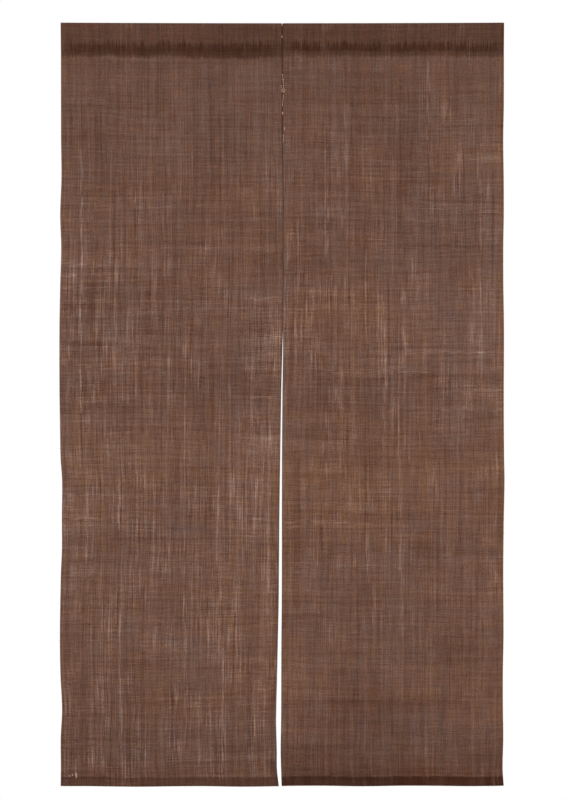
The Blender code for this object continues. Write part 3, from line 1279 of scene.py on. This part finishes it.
def sew_curtain():
    """All the sewing and loose fibre. Each panel's own rows of stitches are given back by panel."""
    brown_thread = hemp_thread("brown_thread", BROWN_THREAD, 4.0)
    pale_thread = hemp_thread("pale_thread", PALE_THREAD, 9.0)
    fibre = hemp_thread("hemp_fibre", HEMP_FIBRE, 14.0)
    lay_threads("seam_thread", whip_seam(), SEAM_THREAD_RADIUS, brown_thread)
    lay_threads("mending_thread", mend_seam(), MENDING_THREAD_RADIUS, pale_thread)
    lay_threads("loose_hemp_fibres", loose_fibres(FIBRE_COUNT, 5), FIBRE_RADIUS, fibre)
    on_panel = {"left": [], "right": []}
    for panel, rows in on_panel.items():
        for index, (place, drop, length, pitch, radius) in enumerate(STITCH_ROWS):
            stitches = running_stitches(panel, drop, length, pitch, STITCH_SEEDS[panel] + index)
            name = panel + "_" + place + "_stitches"
            rows.append(lay_threads(name, stitches, radius, brown_thread))
    return on_panel


def add_light(name, location, size, power):
    """A rectangular light aimed at the curtain's middle."""
    lamp = bpy.data.lights.new(name, "AREA")
    lamp.shape = "RECTANGLE"
    lamp.size = size[0]
    lamp.size_y = size[1]
    lamp.energy = power
    item = bpy.data.objects.new(name, lamp)
    item.location = location
    aim = Vector(CURTAIN_MIDDLE) - Vector(location)
    item.rotation_euler = aim.to_track_quat("-Z", "Y").to_euler()
    bpy.context.scene.collection.objects.link(item)


def lay_floor():
    """A pale floor below the hem, which fades out towards its rim."""
    middle = (0.0, 0.0, FLOOR_HEIGHT)
    bpy.ops.mesh.primitive_circle_add(vertices=96, radius=FLOOR_RADIUS, fill_type="NGON", location=middle)
    floor = bpy.context.object
    floor.name = "floor"
    finish = Finish("pale_floor")
    place = finish.node("ShaderNodeTexCoord", None, None, output=3)
    out = finish.node("ShaderNodeVectorMath", {"operation": "LENGTH"}, {0: place}, output=1)
    fade = finish.fall(out, *FLOOR_FADE)
    finish.surface(Base_Color=(0.84, 0.84, 0.83, 1.0), Roughness=0.8, Alpha=fade)
    floor.data.materials.append(finish.material)


def set_surround():
    """A white surround that gives a softer light than it shows."""
    world = bpy.data.worlds.new("studio")
    bpy.context.scene.world = world
    world.use_nodes = True
    tree = world.node_tree
    background = tree.nodes["Background"]
    seen = tree.nodes.new("ShaderNodeBackground")
    for shader in (background, seen):
        shader.inputs["Color"].default_value = (1.0, 1.0, 1.0, 1.0)
    background.inputs["Strength"].default_value = SURROUND_LIGHT
    path = tree.nodes.new("ShaderNodeLightPath")
    mix = tree.nodes.new("ShaderNodeMixShader")
    tree.links.new(path.outputs["Is Camera Ray"], mix.inputs[0])
    tree.links.new(background.outputs[0], mix.inputs[1])
    tree.links.new(seen.outputs[0], mix.inputs[2])
    tree.links.new(mix.outputs[0], tree.nodes["World Output"].inputs["Surface"])


def set_camera():
    """A level camera straight in front, placed so that the curtain fills the photograph's frame."""
    frame_height = PHOTO_HEIGHT * MM_PER_PIXEL * MM
    camera = bpy.data.cameras.new("camera")
    camera.sensor_width = SENSOR_MM
    camera.lens = SENSOR_MM * CAMERA_DISTANCE / frame_height
    item = bpy.data.objects.new("camera", camera)
    x = (PHOTO_WIDTH / 2 - SEAM_PIXEL_X) * MM_PER_PIXEL
    z = ROD_DROP - (PHOTO_HEIGHT / 2 - TOP_PIXEL_Y) * MM_PER_PIXEL
    item.location = (x * MM, -CAMERA_DISTANCE, z * MM)
    item.rotation_euler = (math.radians(90), 0.0, 0.0)
    bpy.context.scene.collection.objects.link(item)
    bpy.context.scene.camera = item
    bpy.context.scene.view_settings.view_transform = "Standard"


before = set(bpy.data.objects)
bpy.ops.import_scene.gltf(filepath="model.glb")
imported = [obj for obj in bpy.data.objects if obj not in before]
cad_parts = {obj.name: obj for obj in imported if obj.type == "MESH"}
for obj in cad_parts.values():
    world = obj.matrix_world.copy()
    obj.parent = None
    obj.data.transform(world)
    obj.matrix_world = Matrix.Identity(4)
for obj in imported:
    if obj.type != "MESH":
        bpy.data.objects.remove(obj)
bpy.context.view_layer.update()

hemps = {panel: hemp_cloth(panel) for panel in PANEL_CLOTHS}
sewing = sew_curtain()
for panel, hemp in hemps.items():
    cloth, flat_size = hang_panel(panel, hemp)
lay_floor()
set_surround()
for light in LIGHTS:
    add_light(*light)
set_camera()
